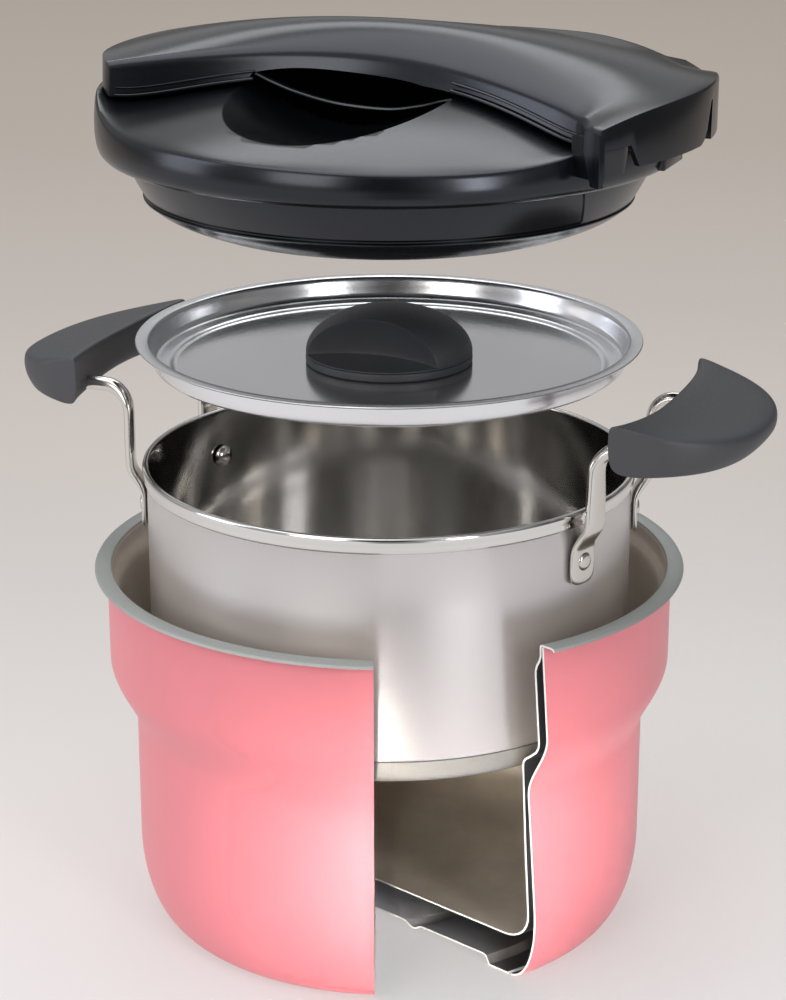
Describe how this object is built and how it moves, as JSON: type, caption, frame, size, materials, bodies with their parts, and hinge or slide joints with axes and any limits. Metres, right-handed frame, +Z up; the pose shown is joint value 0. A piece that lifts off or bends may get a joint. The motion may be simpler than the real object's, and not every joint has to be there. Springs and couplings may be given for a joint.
{
  "type": "thermal cooker",
  "caption": "Vacuum-insulated cooking container cut open to show its walls, with an inner pot, pot lid and outer lid that lift off along one upright axis.",
  "frame": {"origin": "on the vertical axis of the container, at the surface its foot ring stands on", "axes": "+Z up along the common axis, +X through the right pot handle, -Y towards the front"},
  "size_m": [0.314, 0.2412, 0.3709],
  "materials": {
    "pink_paint": "satin",
    "liner_steel": "satin",
    "base_steel": "satin",
    "getter_steel": "matte",
    "pot_steel": "satin",
    "cap_steel": "satin",
    "core_aluminium": "satin",
    "lid_steel": "polished",
    "handle_steel": "polished",
    "slate_bakelite": "matte",
    "black_plastic": "satin",
    "insulation_foam": "matte"
  },
  "bodies": {
    "container": {"outer_shell": "pink_paint", "liner": "liner_steel", "base_plate": "base_steel", "vacuum_seal": "base_steel", "getter": "getter_steel"},
    "pot": {"pot_shell": "pot_steel", "pot_base_cap": "cap_steel", "pot_core_disc": "core_aluminium", "handle_grip_right": "slate_bakelite", "handle_leg_right_front": "handle_steel", "handle_leg_right_rear": "handle_steel", "handle_rivet_right_front": "handle_steel", "handle_rivet_right_rear": "handle_steel", "grip_screw_right_front": "handle_steel", "grip_screw_right_rear": "handle_steel", "handle_grip_left": "slate_bakelite", "handle_leg_left_front": "handle_steel", "handle_leg_left_rear": "handle_steel", "handle_rivet_left_front": "handle_steel", "handle_rivet_left_rear": "handle_steel", "grip_screw_left_front": "handle_steel", "grip_screw_left_rear": "handle_steel"},
    "inner_lid": {"inner_lid_pan": "lid_steel", "lid_knob": "slate_bakelite", "knob_washer": "handle_steel", "knob_screw": "handle_steel"},
    "outer_lid": {"lid_cover": "black_plastic", "lid_plug": "black_plastic", "lid_insulation": "insulation_foam", "grip_band": "black_plastic"}
  },
  "joints": [
    {"name": "pot_lift", "type": "slide", "parent": "container", "child": "pot", "axis": [0, 0, 1], "range_m": [-0.0654, 0]},
    {"name": "inner_lid_lift", "type": "slide", "parent": "pot", "child": "inner_lid", "axis": [0, 0, 1], "range_m": [-0.05, 0]},
    {"name": "outer_lid_lift", "type": "slide", "parent": "inner_lid", "child": "outer_lid", "axis": [0, 0, 1], "range_m": [-0.0462, 0]}
  ]
}
